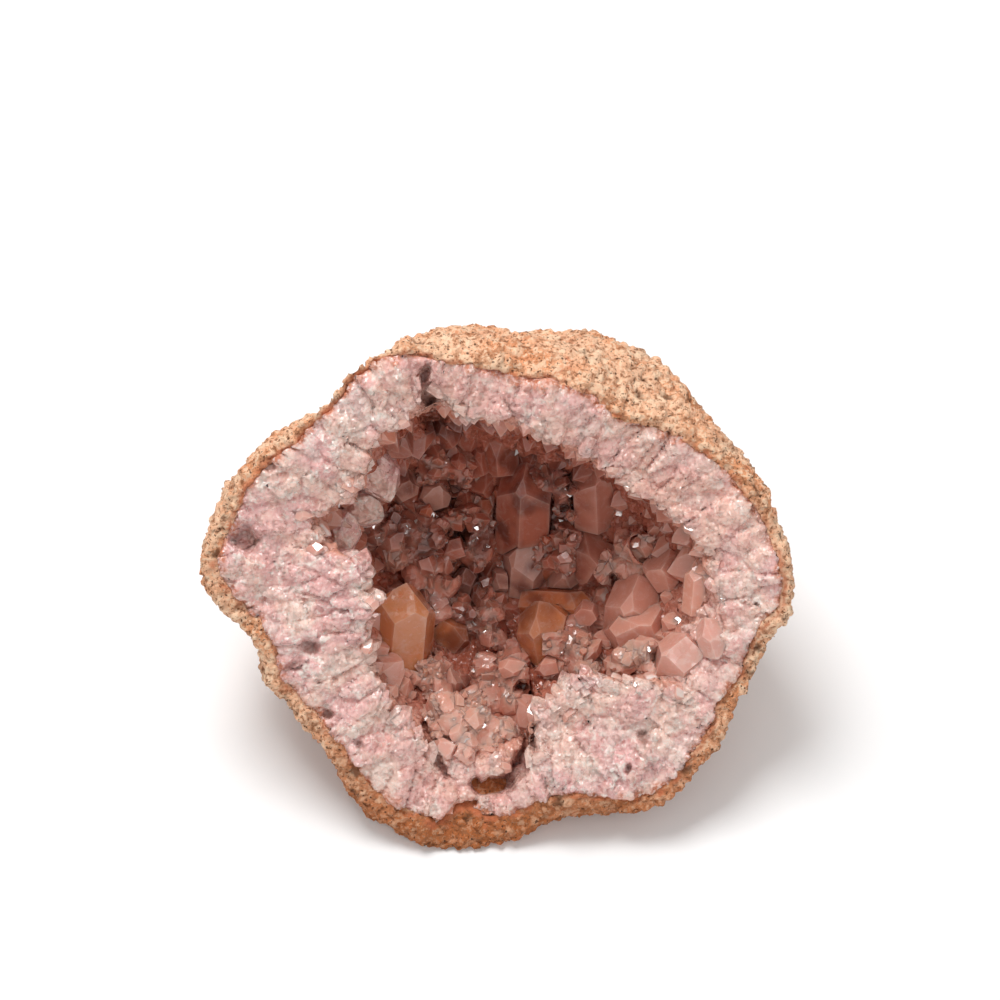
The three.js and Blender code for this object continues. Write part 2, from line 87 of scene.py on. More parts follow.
# Facets that face one of these ways mirror a light.
SHINES = [
    np.array((SIGHT_BACK + place.normalized()).normalized()) for place in (KEY_PLACE, FRONT_PLACE)]
GLINT_SPREAD = math.cos(math.radians(14))  # how nearly a glinting facet faces a shine
GLINT_RADIUS = 2.6 * MM  # only points smaller than this may glint
SUNK_SHARE = 0.3  # no point grows where a hollow is deeper than this share of it
RIM_WIDTH = 0.3  # border of a crystal's face, as a share of the way to its middle
FLATNESS = (0.75, 1.15)  # least and greatest width of a point, as a share of its thickness
CROWDING = 6  # places tried for each that a surface has room for
BROKEN_REACH = 14 * MM  # how far behind the face its broken surface may lie
NEAR = 4 * MM  # gaps to a neighbouring piece are measured no further than this
RAY_RADIUS = 42 * MM  # where chips that ray out from the middle are as wide as they are long
FLOOR_REACH = 4.0  # of the floor, from the middle of the stone
TIP_SLOPE = math.radians(38.2)  # quartz tip facets, measured from the prism's side

# Hollows in the quartz: right and up as seen along the line of sight, radius and depth, in
# millimetres.
HOLLOWS = (
    (-4.6, 1, 2.4, 7), (15, 25, 2.6, 6), (15, 19, 2.2, 5), (31, 10.5, 3, 6), (5.5, -19, 2.2, 5),
    (-14, 44, 1.8, 4), (-13.6, 41, 2.8, 6), (-13, 37.5, 3.6, 8), (-10, 22, 4.5, 5),
    (-8, 14, 3.5, 4), (25, 4, 2, 4),
    (-50, 12.5, 3.6, 3), (-34.5, -22.5, 1.3, 1.6), (-38, -9, 3, 1.2), (-41, -13, 2, 1.2),
    (-28, -30, 1.2, 1.2), (26.5, -34, 1.3, 1.6), (30, -28, 2.2, 1), (-45, 26, 1.6, 1.3),
)

# Crevices round the front mound, each a chain of right and up, a radius and a depth, in
# millimetres.
CREVICES = (
    (((-3, -38.6), (2, -37.6), (5.2, -34.2), (6.4, -30), (6, -26)), 2.7, 6),
    (((6, -25), (5.6, -21), (5.2, -18)), 1.7, 4),
    (((-16, -26), (-14, -31), (-10.5, -35.5)), 1.2, 2.5),
)
CREVICE_STEPS = 6  # hollows between two points of a crevice

# Sizes of the waves, grains and chips that roughen the rind, the wall and the clusters.
LUMP_SIZE, SMALL_LUMP_SIZE = 9 * MM, 3.6 * MM
GRAIN_SIZE, KNOB_SIZE, PIT_SIZE = 1.5 * MM, 2.6 * MM, 4.2 * MM
PIT_SHARE = 0.3  # of the places where a pit could be
FINE_CHIP_SHARE = 0.36  # of the broken quartz's chips
MOUND_CHIP_SIZE = 4.4 * MM

MOUTH_REACH = 2.6 * MM  # points at the mouth grow this near to the lining
MOUTH_SPARE = 3 * MM  # and no nearer to the rind than this
MOUTH_RADII = (1.1, 2.3)  # millimetres

# The lining's big and small points: least and greatest radius, and length for its radius.
BIG_POINTS = (2.6 * MM, 5 * MM, 1.4)
SMALL_POINTS = (1.2 * MM, 2.3 * MM, 1.2)

# Where the lining's pieces part, up the face and to the right.
LINING_FLOOR, LINING_ROOF = -12 * MM, 26 * MM
LINING_LEFT, LINING_RIGHT = -16 * MM, 22 * MM

# A cluster's big and small points: spacing, least and greatest radius, in millimetres.
CLUSTER_POINTS = ((3.6, 1.4, 2.7), (2.2, 0.7, 1.2))
CLUSTER_BACK = 2 * MM  # no points grow further than this behind a cluster's middle


# ---------------------------------------------------------------- numbers over a surface


def face_coords(points):
    """Right, up and out of the broken face, in metres, for an array of points."""
    away = points - np.array(FACE_MIDDLE)
    return away[:, 0], away @ np.array(FACE_UP), away @ np.array(FACE_OUT)


def hashed(cells, seed):
    """A repeatable number from 0 to 1 for each row of whole-numbered cells."""
    c = cells.astype(np.int64)
    h = c[..., 0] * 73856093 ^ c[..., 1] * 19349663 ^ c[..., 2] * 83492791 ^ (seed * 2654435761)
    h = (h ^ (h >> 13)) * 1274126177 & 0xFFFFFFFF
    h = (h ^ (h >> 16)) * 2246822519 & 0xFFFFFFFF
    return ((h ^ (h >> 15)) & 0xFFFFFF) / float(0x1000000)


def waves(points, size, seed):
    """Smooth noise from -1 to 1 with features of about the given size."""
    q = points / size
    low = np.floor(q)
    t = q - low
    t = t * t * (3 - 2 * t)
    total = np.zeros(len(points))
    for corner in np.ndindex(2, 2, 2):
        shift = np.array(corner)
        weight = np.prod(np.where(shift == 1, t, 1 - t), axis=1)
        total += weight * hashed(low + shift, seed)
    return total * 2 - 1


def layered(points, size, seed, layers=3):
    """Smooth noise with finer and fainter noise on top, about -1 to 1."""
    return sum(waves(points, size / 2**k, seed + k) / 2**k for k in range(layers)) * 0.6


def chips(points, size, seed, tilt):
    """Height of a surface broken into flat tilted chips, as a share of their size.

    Returns the height, how far each point is from the nearest chip border and a number
    for each chip."""
    q = points / size
    low = np.floor(q)
    nearest = np.full(len(points), np.inf)
    second = np.full(len(points), np.inf)
    height = np.zeros(len(points))
    own = np.zeros(len(points))
    for corner in np.ndindex(3, 3, 3):
        cell = low + np.array(corner) - 1
        middle = cell + np.stack([hashed(cell, seed + k) for k in range(3)], axis=1)
        away = q - middle
        apart = np.sum(away * away, axis=1)
        slope = np.stack([hashed(cell, seed + 5 + k) for k in range(3)], axis=1) * 2 - 1
        rise = hashed(cell, seed + 9) - 0.5 + tilt * np.sum(away * slope, axis=1)
        closer = apart < nearest
        second = np.where(closer, nearest, np.minimum(second, apart))
        height = np.where(closer, rise, height)
        own = np.where(closer, hashed(cell, seed + 11), own)
        nearest = np.where(closer, apart, nearest)
    return height, np.sqrt(second) - np.sqrt(nearest), own


def pits(points, size, seed, share):
    """1 in the middle of scattered round pits, 0 outside them."""
    q = points / size
    low = np.floor(q)
    deep = np.zeros(len(points))
    for corner in np.ndindex(3, 3, 3):
        cell = low + np.array(corner) - 1
        middle = cell + np.stack([hashed(cell, seed + k) for k in range(3)], axis=1)
        apart = np.linalg.norm(q - middle, axis=1)
        there = hashed(cell, seed + 7) < share
        deep = np.maximum(deep, there * np.clip(1 - apart / 0.45, 0, 1))
    return deep


def ramp(value, low, high):
    """0 below low, 1 above high, and smooth between them."""
    t = np.clip((value - low) / (high - low), 0, 1)
    return t * t * (3 - 2 * t)


def all_hollows():
    """The single hollows, and those that follow one another along each crevice."""
    yield from HOLLOWS
    for chain, radius, reach in CREVICES:
        for start, end in zip(chain, chain[1:]):
            for share in np.linspace(0, 1, CREVICE_STEPS):
                right, up = np.array(start) * (1 - share) + np.array(end) * share
                yield right, up, radius, reach


def hollowed(points, spread=1.0):
    """How deep the hollows reach at each point, in metres, and how far into one it is, 0 to 1."""
    away = points - np.array(FACE_MIDDLE)
    seen = np.stack([away[:, 0], away @ np.array(SIGHT_UP)], axis=1)
    seen += 1.1 * MM * np.stack([waves(points, 2.6 * MM, 81), waves(points, 2.6 * MM, 82)], axis=1)
    depth, inside = np.zeros(len(points)), np.zeros(len(points))
    for right, up, radius, reach in all_hollows():
        apart = np.linalg.norm(seen - np.array([right, up]) * MM, axis=1) / (radius * MM * spread)
        share = 1 - ramp(apart, 0.35, 1.0)
        depth = np.maximum(depth, share * reach * MM)
        inside = np.maximum(inside, share)
    return depth, inside


# ---------------------------------------------------------------- meshes


def verts_of(mesh):
    co = np.empty(len(mesh.vertices) * 3)
    mesh.vertices.foreach_get("co", co)
    return co.reshape(-1, 3)


def normals_of(mesh):
    no = np.empty(len(mesh.vertices) * 3, np.float32)
    mesh.vertex_normals.foreach_get("vector", no)
    return no.reshape(-1, 3).astype(float)


def new_piece(name, mesh, finish, slot, *nodes):
    """A finished piece on the scene, riding on the stone, standing for its CAD nodes."""
    piece = bpy.data.objects.new(name, mesh)
    bpy.context.scene.collection.objects.link(piece)
    mesh.materials.clear()
    mesh.materials.append(finish)
    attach(piece, "root")
    if nodes:
        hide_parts(*nodes)
    return piece


def remeshed(node, voxel, smooth):
    """An evenly meshed copy of a CAD node's mesh."""
    source = frame["nodes"][node]
    copy = bpy.data.objects.new(node + "_even", source.data.copy())
    bpy.context.scene.collection.objects.link(copy)
    even = copy.modifiers.new("even", "REMESH")
    even.mode = "VOXEL"
    even.voxel_size = voxel
    if smooth:
        soft = copy.modifiers.new("soft", "SMOOTH")
        soft.iterations = smooth
        soft.factor = 0.5
    shown = copy.evaluated_get(bpy.context.evaluated_depsgraph_get())
    mesh = bpy.data.meshes.new_from_object(shown)
    bpy.data.objects.remove(copy)
    mesh.shade_smooth()
    return mesh


def tree_of(node):
    """A search tree over a CAD node's surface."""
    mesh = frame["nodes"][node].data
    mesh.calc_loop_triangles()
    tris = [tuple(t.vertices) for t in mesh.loop_triangles]
    return BVHTree.FromPolygons([v.co for v in mesh.vertices], tris)


def gap_to(tree, points, reach):
    """Distance of each point to a surface, at most reach."""
    found = (tree.find_nearest(Vector(p), reach)[3] for p in points)
    return np.array([reach if d is None else d for d in found])


def set_number(mesh, name, values):
    """Stores one number for each vertex, for the materials to read."""
    mesh.attributes.new(name, "FLOAT", "POINT").data.foreach_set("value", values.astype(np.float32))


def rimmed(verts, faces):
    """Each face split into a middle and a border, with 1 at its corners and 0 in its middle."""
    verts = [np.array(v) for v in verts]
    rims = [1.0] * len(verts)
    made = []
    for face in faces:
        middle = sum(verts[i] for i in face) / len(face)
        inner = list(range(len(verts), len(verts) + len(face)))
        verts.extend([verts[i] + (middle - verts[i]) * RIM_WIDTH for i in face])
        rims.extend([0.0] * len(face))
        made.append(tuple(inner))
        for k in range(len(face)):
            after = (k + 1) % len(face)
            made.append((face[k], face[after], inner[after], inner[k]))
    return np.array(verts), made, np.array(rims)


class Heap:
    """Many small closed shapes gathered into one mesh.

    Each shape has a number of its own, and each corner says how near a crystal's edge it is and
    whether it lies on a facet that mirrors the light."""

    def __init__(self):
        self.verts, self.faces, self.marks, self.rims, self.glints = [], [], [], [], []
        self.total = 0

    def add(self, verts, faces, mark, rims, glints=None):
        self.verts.append(verts)
        self.glints.append(np.zeros(len(verts)) if glints is None else glints)
        self.faces.extend([tuple(i + self.total for i in f) for f in faces])
        self.marks.append(np.full(len(verts), mark))
        self.rims.append(rims)
        self.total += len(verts)

    def mesh(self, name):
        mesh = bpy.data.meshes.new(name)
        mesh.from_pydata(np.concatenate(self.verts).tolist(), [], self.faces)
        mesh.update()
        set_number(mesh, "chip", np.concatenate(self.marks))
        set_number(mesh, "rim", np.concatenate(self.rims))
        set_number(mesh, "glint", np.concatenate(self.glints))
        return mesh


def refined(mesh, chosen):
    """Splits each of the chosen faces of a mesh into four."""
    work = bmesh.new()
    work.from_mesh(mesh)
    work.faces.ensure_lookup_table()
    edges = {e for i in np.flatnonzero(chosen) for e in work.faces[i].edges}
    bmesh.ops.subdivide_edges(work, edges=list(edges), cuts=1, use_grid_fill=True, smooth=0)
    work.to_mesh(mesh)
    work.free()


def face_middles(mesh):
    middles = np.empty(len(mesh.polygons) * 3)
    mesh.polygons.foreach_get("center", middles)
    normals = np.empty(len(mesh.polygons) * 3, np.float32)
    mesh.polygon_normals.foreach_get("vector", normals)
    return middles.reshape(-1, 3), normals.reshape(-1, 3).astype(float)


# ---------------------------------------------------------------- crystals


def point_shape(seed):
    """Corners and faces of one quartz point of radius 1, from z 0 up to its tip at z 1."""
    rng = np.random.default_rng(seed)
    work = bmesh.new()
    bmesh.ops.create_cone(
        work, cap_ends=True, segments=6, radius1=0.97, radius2=1.0, depth=4,
        matrix=Matrix.Translation((0, 0, -1)))
    off = Vector((rng.uniform(-0.3, 0.3), rng.uniform(-0.3, 0.3), 0))
    for side in range(6):
        turn = (side + 0.5) * math.pi / 3 + rng.uniform(-0.05, 0.05)
        spare = (side % 2) * rng.uniform(0, 0.4)
        facet = Vector((
            math.cos(turn) * math.cos(TIP_SLOPE), math.sin(turn) * math.cos(TIP_SLOPE),
            math.sin(TIP_SLOPE)))
        cut = bmesh.ops.bisect_plane(
            work, geom=[*work.verts, *work.edges, *work.faces], dist=1e-6,
            plane_co=off + Vector((0, 0, 1 + spare)), plane_no=facet, clear_outer=True)
        rim = [e for e in cut["geom_cut"] if isinstance(e, bmesh.types.BMEdge)]
        if rim:
            bmesh.ops.contextual_create(work, geom=rim)
    bmesh.ops.remove_doubles(work, verts=work.verts, dist=1e-4)
    work.verts.index_update()
    verts = np.array([v.co[:] for v in work.verts])
    faces = [tuple(v.index for v in f.verts) for f in work.faces]
    work.free()
    verts[:, 2] -= verts[:, 2].max() - 1
    return rimmed(verts, faces)


POINT_SHAPES = [point_shape(seed) for seed in range(40)]


def shining(out, rng):
    """A turn that grows a point near out with one tip facet mirroring a light."""
    shine = SHINES[rng.integers(len(SHINES))]
    across = out + rng.normal(0, 0.3, 3)
    across = unit(across - (across @ shine) * shine)
    growth = math.sin(TIP_SLOPE) * shine + math.cos(TIP_SLOPE) * across
    facet = unit(shine - (shine @ growth) * growth)
    back = Matrix.Rotation(-math.pi / 6, 3, Vector(growth))
    side = np.array(back @ Vector(facet))
    return growth, np.stack([side, np.cross(growth, side), growth], axis=1)


def mirrored(verts, faces, rims):
    """1 at the corners of the facets that mirror a light, 0 elsewhere."""
    glints = np.zeros(len(verts))
    for face in faces:
        corners = verts[list(face)]
        if not rims[list(face)].any():
            out = unit(np.cross(corners[1] - corners[0], corners[2] - corners[0]) + 1e-18)
            glints[list(face)] = max(out @ shine for shine in SHINES) > GLINT_SPREAD
    return glints


def grow_point(heap, rng, root, growth, radius, length, turn=None):
    """Adds one quartz point to a heap, its tip at length along growth from root."""
    verts, faces, rims = POINT_SHAPES[rng.integers(len(POINT_SHAPES))]
    local = verts * radius
    local[:, 1] *= rng.uniform(*FLATNESS)
    local[:, 2] += length - radius
    local[verts[:, 2] < -1.2, 2] = -radius * 0.9
    lit = turn is not None
    if not lit:
        spin = Euler((0, 0, rng.uniform(0, 2 * math.pi))).to_matrix()
        lean = Vector((0, 0, 1)).rotation_difference(Vector(growth)).to_matrix()
        turn = np.array(lean @ spin)
    made = local @ turn.T + np.array(root)
    heap.add(made, faces, rng.random(), rims, mirrored(made, faces, rims) if lit else None)


def spread_points(corners, spacing, rng):
    """Points spread over triangles, none closer than spacing. Returns points and triangles."""
    cross = np.cross(corners[:, 1] - corners[:, 0], corners[:, 2] - corners[:, 0])
    area = np.linalg.norm(cross, axis=1) / 2
    count = int(area.sum() / spacing**2 * CROWDING)
    own = rng.choice(len(corners), count, p=area / area.sum())
    a, b = rng.random(count), rng.random(count)
    fold = a + b > 1
    a[fold], b[fold] = 1 - a[fold], 1 - b[fold]
    base = corners[own]
    spots = base[:, 0] + a[:, None] * (base[:, 1] - base[:, 0]) + b[:, None] * (
        base[:, 2] - base[:, 0])
    taken, kept = {}, []
    cells = np.floor(spots / spacing).astype(int)
    around = [np.array(c) - 1 for c in np.ndindex(3, 3, 3)]
    for i, (spot, cell) in enumerate(zip(spots, cells)):
        near = (taken.get(tuple(cell + c), ()) for c in around)
        if any(np.sum((spot - spots[j]) ** 2) < spacing**2 for js in near for j in js):
            continue
        taken.setdefault(tuple(cell), []).append(i)
        kept.append(i)
    return spots[kept], own[kept]


def unit(vectors):
    return vectors / np.linalg.norm(vectors, axis=-1, keepdims=True)


def corners_of(mesh):
    """The corners and the normal of each triangle of a mesh."""
    mesh.calc_loop_triangles()
    corners = verts_of(mesh)[np.array([t.vertices[:] for t in mesh.loop_triangles])]
    across = np.cross(corners[:, 1] - corners[:, 0], corners[:, 2] - corners[:, 0])
    return corners, unit(across + 1e-18)


def wall_faces():
    """The quartz wall's triangles as corners and normals, and which are broken or cavity."""
    corners, normal = corners_of(frame["nodes"]["quartz_wall"].data)
    middle = corners.mean(axis=1)
    depth = -face_coords(middle)[2]
    rind = gap_to(tree_of("rind"), middle, 3 * MM)
    outer = (rind < 0.6 * MM) & (normal @ np.array(FACE_OUT) < 0.5)
    broken = ~outer & (normal @ np.array(FACE_OUT) > 0.6) & (depth < 12 * MM)
    inward = np.sum(normal * unit(np.array(CAVITY_FOCUS) - middle), axis=1) > 0
    return corners, normal, broken, ~outer & ~broken & inward & (depth > 3.5 * MM)


# ---------------------------------------------------------------- materials


class Tone:
    """A number socket that turns Python arithmetic into Math nodes."""

    def __init__(self, finish, socket):
        self.finish, self.socket = finish, socket

    def _math(self, operation, *values):
        made = self.finish.node("ShaderNodeMath", {"operation": operation}, dict(enumerate(values)))
        return Tone(self.finish, made.outputs[0])

    def __add__(self, other):
        return self._math("ADD", self, other)

    def __sub__(self, other):
        return self._math("SUBTRACT", self, other)

    def __mul__(self, other):
        return self._math("MULTIPLY", self, other)

    def __rsub__(self, other):
        return self._math("SUBTRACT", other, self)

    __radd__ = __add__

    def ramp(self, low, high):
        """0 below low, 1 above high, and smooth between them."""
        made = self.finish.node(
            "ShaderNodeMapRange", {"interpolation_type": "SMOOTHSTEP", "clamp": True},
            {"Value": self, "From Min": low, "From Max": high})
        return Tone(self.finish, made.outputs["Result"])


def linear(colour):
    """A colour given as seen, 0 to 1 in sRGB, as the linear RGBA that sockets take."""
    return (*[c / 12.92 if c <= 0.04045 else ((c + 0.055) / 1.055) ** 2.4 for c in colour[:3]], 1)


class Finish:
    """A procedural material built node by node."""

    def __init__(self, name):
        self.material = bpy.data.materials.new(name)
        self.material.use_nodes = True
        self.tree = self.material.node_tree
        self.tree.nodes.clear()
        self.shader = self.node("ShaderNodeBsdfPrincipled")
        self.node("ShaderNodeOutputMaterial", inputs={"Surface": self.shader.outputs[0]})
        place = self.node("ShaderNodeTexCoord").outputs["Object"]
        self.place = self.vector("SCALE", place, Scale=1 / MM)

    def node(self, kind, settings=None, inputs=None):
        made = self.tree.nodes.new(kind)
        for key, value in (settings or {}).items():
            setattr(made, key, value)
        for key, value in (inputs or {}).items():
            value = value.socket if isinstance(value, Tone) else value
            if isinstance(value, bpy.types.NodeSocket):
                self.tree.links.new(value, made.inputs[key])
            else:
                made.inputs[key].default_value = value
        return made

    def vector(self, operation, *values, **named):
        inputs = {**dict(enumerate(values)), **named}
        return self.node("ShaderNodeVectorMath", {"operation": operation}, inputs).outputs[0]

    def along(self, direction, origin):
        """Distance in millimetres from origin along a direction."""
        made = self.node(
            "ShaderNodeVectorMath", {"operation": "DOT_PRODUCT"},
            {0: self.place, 1: tuple(direction)})
        return Tone(self, made.outputs["Value"]) - direction.dot(origin) / MM

    def noise(self, size, detail=4, rough=0.55, warp=0.0):
        made = self.node("ShaderNodeTexNoise", {}, {
            "Vector": self.place, "Scale": 1 / size, "Detail": detail, "Roughness": rough,
            "Distortion": warp})
        return Tone(self, made.outputs["Fac"])

    def facets(self, size):
        """Height of small flat faces tilted at random, in shares of their size."""
        cell = self.node("ShaderNodeTexVoronoi", {}, {"Vector": self.place, "Scale": 1 / size})
        away = self.vector("SUBTRACT", self.place, cell.outputs["Position"])
        slope = self.vector("SUBTRACT", cell.outputs["Color"], (0.5, 0.5, 0.5))
        made = self.node("ShaderNodeVectorMath", {"operation": "DOT_PRODUCT"}, {0: away, 1: slope})
        return Tone(self, made.outputs["Value"]) * (1 / size)

    def stored(self, name):
        """A number stored on the mesh."""
        made = self.node("ShaderNodeAttribute", {"attribute_name": name})
        return Tone(self, made.outputs["Fac"])

    def mix(self, share, below, above):
        """Two colours mixed. Colours are sockets or as seen, in sRGB."""
        below, above = [
            c if isinstance(c, bpy.types.NodeSocket) else linear(c) for c in (below, above)]
        made = self.node("ShaderNodeMix", {"data_type": "RGBA"}, {0: share, 6: below, 7: above})
        return made.outputs[2]

    def bump(self, height, distance, strength=1.0, over=None):
        inputs = {"Height": height, "Distance": distance, "Strength": strength}
        if over is not None:
            inputs["Normal"] = over
        return self.node("ShaderNodeBump", {}, inputs).outputs[0]

    def surface(self, **values):
        """Sets the shader's sockets: an underscore in a name stands for a space."""
        for key, value in values.items():
            value = value.socket if isinstance(value, Tone) else value
            socket = self.shader.inputs[key.replace("_", " ")]
            if isinstance(value, bpy.types.NodeSocket):
                self.tree.links.new(value, socket)
            else:
                socket.default_value = value


def sandy_stone(settings):
    """Rough granular stone of the rind."""
    finish = Finish("sandy_stone")
    broad = finish.noise(9, 3)
    patch = finish.noise(4.2, 4, warp=0.4)
    grain = finish.noise(1.0, 5, 0.65)
    speck = finish.noise(0.7, 3, 0.5)
    sand = finish.mix(broad.ramp(0.35, 0.7), settings.sand, settings.ochre)
    # Painted shade: towards its underside the rind turns darker and its pale grains thin out, the
    # shade under the stone painted into its colour.
    upper = finish.along(Vector((0, 0, 1)), CAD_BOX[0]).ramp(4, 34)
    low = finish.mix(1 - upper, sand, settings.underside_shade)
    rusty = finish.mix(patch.ramp(0.56, 0.74) * 0.75, low, settings.rust)
    own = finish.stored("chip")
    sorted_grains = finish.mix((1 - own.ramp(0.1, 0.3)) * 0.5, rusty, settings.dark_grain)
    lit = 0.3 + upper * 0.7
    pale = finish.mix(own.ramp(0.6, 0.9) * lit * 0.6, sorted_grains, settings.pale_grain)
    light = finish.mix(grain.ramp(0.52, 0.6) * lit * 0.7, pale, settings.pale_grain)
    dark = finish.mix((1 - grain.ramp(0.38, 0.46)) * 0.9, light, settings.dark_grain)
    specks = finish.mix((1 - speck.ramp(0.32, 0.38)) * 0.95, dark, settings.speck)
    stained = finish.mix(finish.stored("stain") * 0.8, specks, settings.rust)
    # Painted shade: the rind takes the speck colour in its pits and along the borders between its
    # grains.
    hollow = finish.mix(finish.stored("hollow").ramp(0.15, 0.8) * 0.7, stained, settings.speck)
    rough = finish.bump(grain, 0.7 * MM, 1.0)
    finish.surface(
        Base_Color=hollow, Roughness=0.82 + grain * 0.18,
        Normal=finish.bump(speck, 0.3 * MM, 0.8, over=rough), Specular_IOR_Level=0.2)
    return finish.material


def milky_quartz(settings):
    """Broken massive quartz of the wall, sugary and translucent."""
    finish = Finish("milky_quartz")
    depth = 0 - finish.along(FACE_OUT, FACE_MIDDLE)
    broad = finish.noise(8, 3)
    cloud = finish.noise(3, 6, 0.62, warp=0.6)
    sugar = finish.noise(0.8, 4, 0.6)
    streak = finish.noise(1.1, 5, 0.65, warp=0.8)
    lilac = finish.mix(broad.ramp(0.38, 0.6), settings.milk, settings.lilac)
    cloudy = finish.mix(cloud.ramp(0.52, 0.68) * 0.9, lilac, settings.white_vein_and_highlight)
    smoky = finish.mix((1 - cloud.ramp(0.32, 0.46)) * 0.5, cloudy, settings.smoky)
    chip = finish.mix(finish.stored("chip").ramp(0.5, 1) * 0.35, smoky, settings.white_vein_and_highlight)
    bright = finish.mix(streak.ramp(0.57, 0.61) * 0.7, chip, settings.white_vein_and_highlight)
    mouth = finish.mix(finish.stored("mouth") * 0.4, bright, settings.rose)
    # Deeper in the cavity the quartz turns darker and redder: partly its own colour, partly painted
    # shade.
    inside = finish.mix(depth.ramp(3, 24), settings.rose, settings.deep)
    wall = finish.mix(finish.stored("inside"), mouth, inside)
    # Painted shade: the quartz darkens in its hollows.
    dark = finish.mix(finish.stored("hollow") * 0.6, wall, settings.hollow_shade)
    stained = finish.mix(finish.stored("stain") * sugar.ramp(0.35, 0.6), dark, settings.iron)
    facets = finish.bump(finish.facets(1.6), 1.6 * MM, 1)
    fine = finish.bump(finish.facets(0.6), 0.6 * MM, 1, over=facets)
    finish.surface(
        Base_Color=stained, Roughness=0.08 + sugar * 0.3,
        Normal=finish.bump(sugar, 0.15 * MM, 0.6, over=fine),
        Subsurface_Weight=0.5, Subsurface_Radius=(1.0, 0.8, 0.75), Subsurface_Scale=1.8 * MM,
        IOR=1.54, Specular_IOR_Level=0.75)
    return finish.material


def crystal_quartz(name, near, far, tint, clarity, settings):
    """Glossy translucent quartz points, darker and redder with depth in the cavity, partly painted
    shade.
    """
    finish = Finish(name)
    depth = 0 - finish.along(FACE_OUT, FACE_MIDDLE)
    own, rim = finish.stored("chip"), finish.stored("rim")
    cloud = finish.noise(2.6, 5, 0.6, warp=0.5)
    vein = finish.noise(1.5, 5, 0.65, warp=1.5)
    # Deeper in the cavity the crystals turn darker and redder, less so towards the right: partly
    # their own colour, partly painted shade.
    right = finish.along(Vector((1, 0, 0)), FACE_MIDDLE).ramp(12, 24)
    base = finish.mix(depth.ramp(6, 38) * (1 - right * 0.4), near, far)
    # Dark patches at the back of the cavity, less towards the right: partly a darker tint, partly
    # painted shade.
    back_tint_and_shade = finish.noise(9, 2).ramp(0.42, 0.6) * depth.ramp(16, 34) * (1 - right) * 0.85
    varied = finish.mix(own.ramp(0.85, 1) * 0.3, finish.mix(back_tint_and_shade, base, settings.back_tint_and_shade), tint)
    shade = finish.mix((1 - own.ramp(0, 0.3)) * 0.22, varied, far)
    pale = finish.mix((1 - depth.ramp(1, 12)) * 0.3, shade, settings.lilac)
    clearer = 1 - depth.ramp(4, 30) * 0.6
    veiled = finish.mix(cloud.ramp(0.5, 0.72) * clearer * 0.26, pale, settings.white_vein_and_highlight)
    crack = finish.mix(vein.ramp(0.58, 0.64) * clearer * 0.18, veiled, settings.white_vein_and_highlight)
    # Painted highlight: each face turns whiter towards its border, with a thin bright line along
    # each edge.
    painted_edge_highlight = finish.mix(rim * 0.1 + rim.ramp(0.86, 0.97) * 0.07, crack, settings.white_vein_and_highlight)
    # Painted shade: the crystals darken in the hollows.
    dark = finish.mix(finish.stored("hollow") * 0.9, painted_edge_highlight, settings.hollow_shade)
    # Painted highlight: facets turned to mirror a light are also whitened in their colour, on top
    # of their glossy coat.
    glint = finish.stored("glint")
    bright = finish.mix(glint * 0.55, dark, settings.white_vein_and_highlight)
    facets = finish.bump(finish.facets(1.1), 0.12 * MM, 1)
    finish.surface(
        Base_Color=bright, Roughness=0.1 + cloud * 0.2, Coat_Weight=glint,
        Coat_Roughness=0.12, Coat_IOR=2.2,
        Normal=finish.bump(finish.noise(0.6, 3), 0.04 * MM, 0.4, over=facets),
        Subsurface_Weight=0.6, Subsurface_Radius=(1.0, 0.6, 0.5), Subsurface_Scale=2.2 * MM,
        Transmission_Weight=clarity, IOR=1.54, Specular_IOR_Level=0.75)
    return finish.material


FINISHES = {}


def finish_for(slot):
    """The material for one of the record's slots, made once."""
    colours = bpy.context.scene.geode_colours
    makers = {
        "rind": lambda: sandy_stone(colours),
        "quartz_wall": lambda: milky_quartz(colours),
        "pink_crystal": lambda: crystal_quartz(
            "rose_quartz", colours.rose, colours.deep, colours.amber, 0.1, colours),
        "clear_crystal": lambda: crystal_quartz(
            "clear_quartz", colours.clear, colours.dusky, colours.milk, 0.15, colours),
        "amber_crystal": lambda: crystal_quartz(
            "amber_quartz", colours.golden, colours.amber, colours.rust, 0.25, colours),
    }
    if slot not in FINISHES:
        FINISHES[slot] = makers[slot]()
    return FINISHES[slot]


# ---------------------------------------------------------------- settings


def colour(name, description, default):
    return bpy.props.FloatVectorProperty(
        name=name, description=description, subtype="COLOR_GAMMA", size=3, min=0, max=1,
        default=default)


def length(name, description, default):
    return bpy.props.FloatProperty(
        name=name, description=description, unit="LENGTH", subtype="DISTANCE", min=0,
        precision=5, default=default)


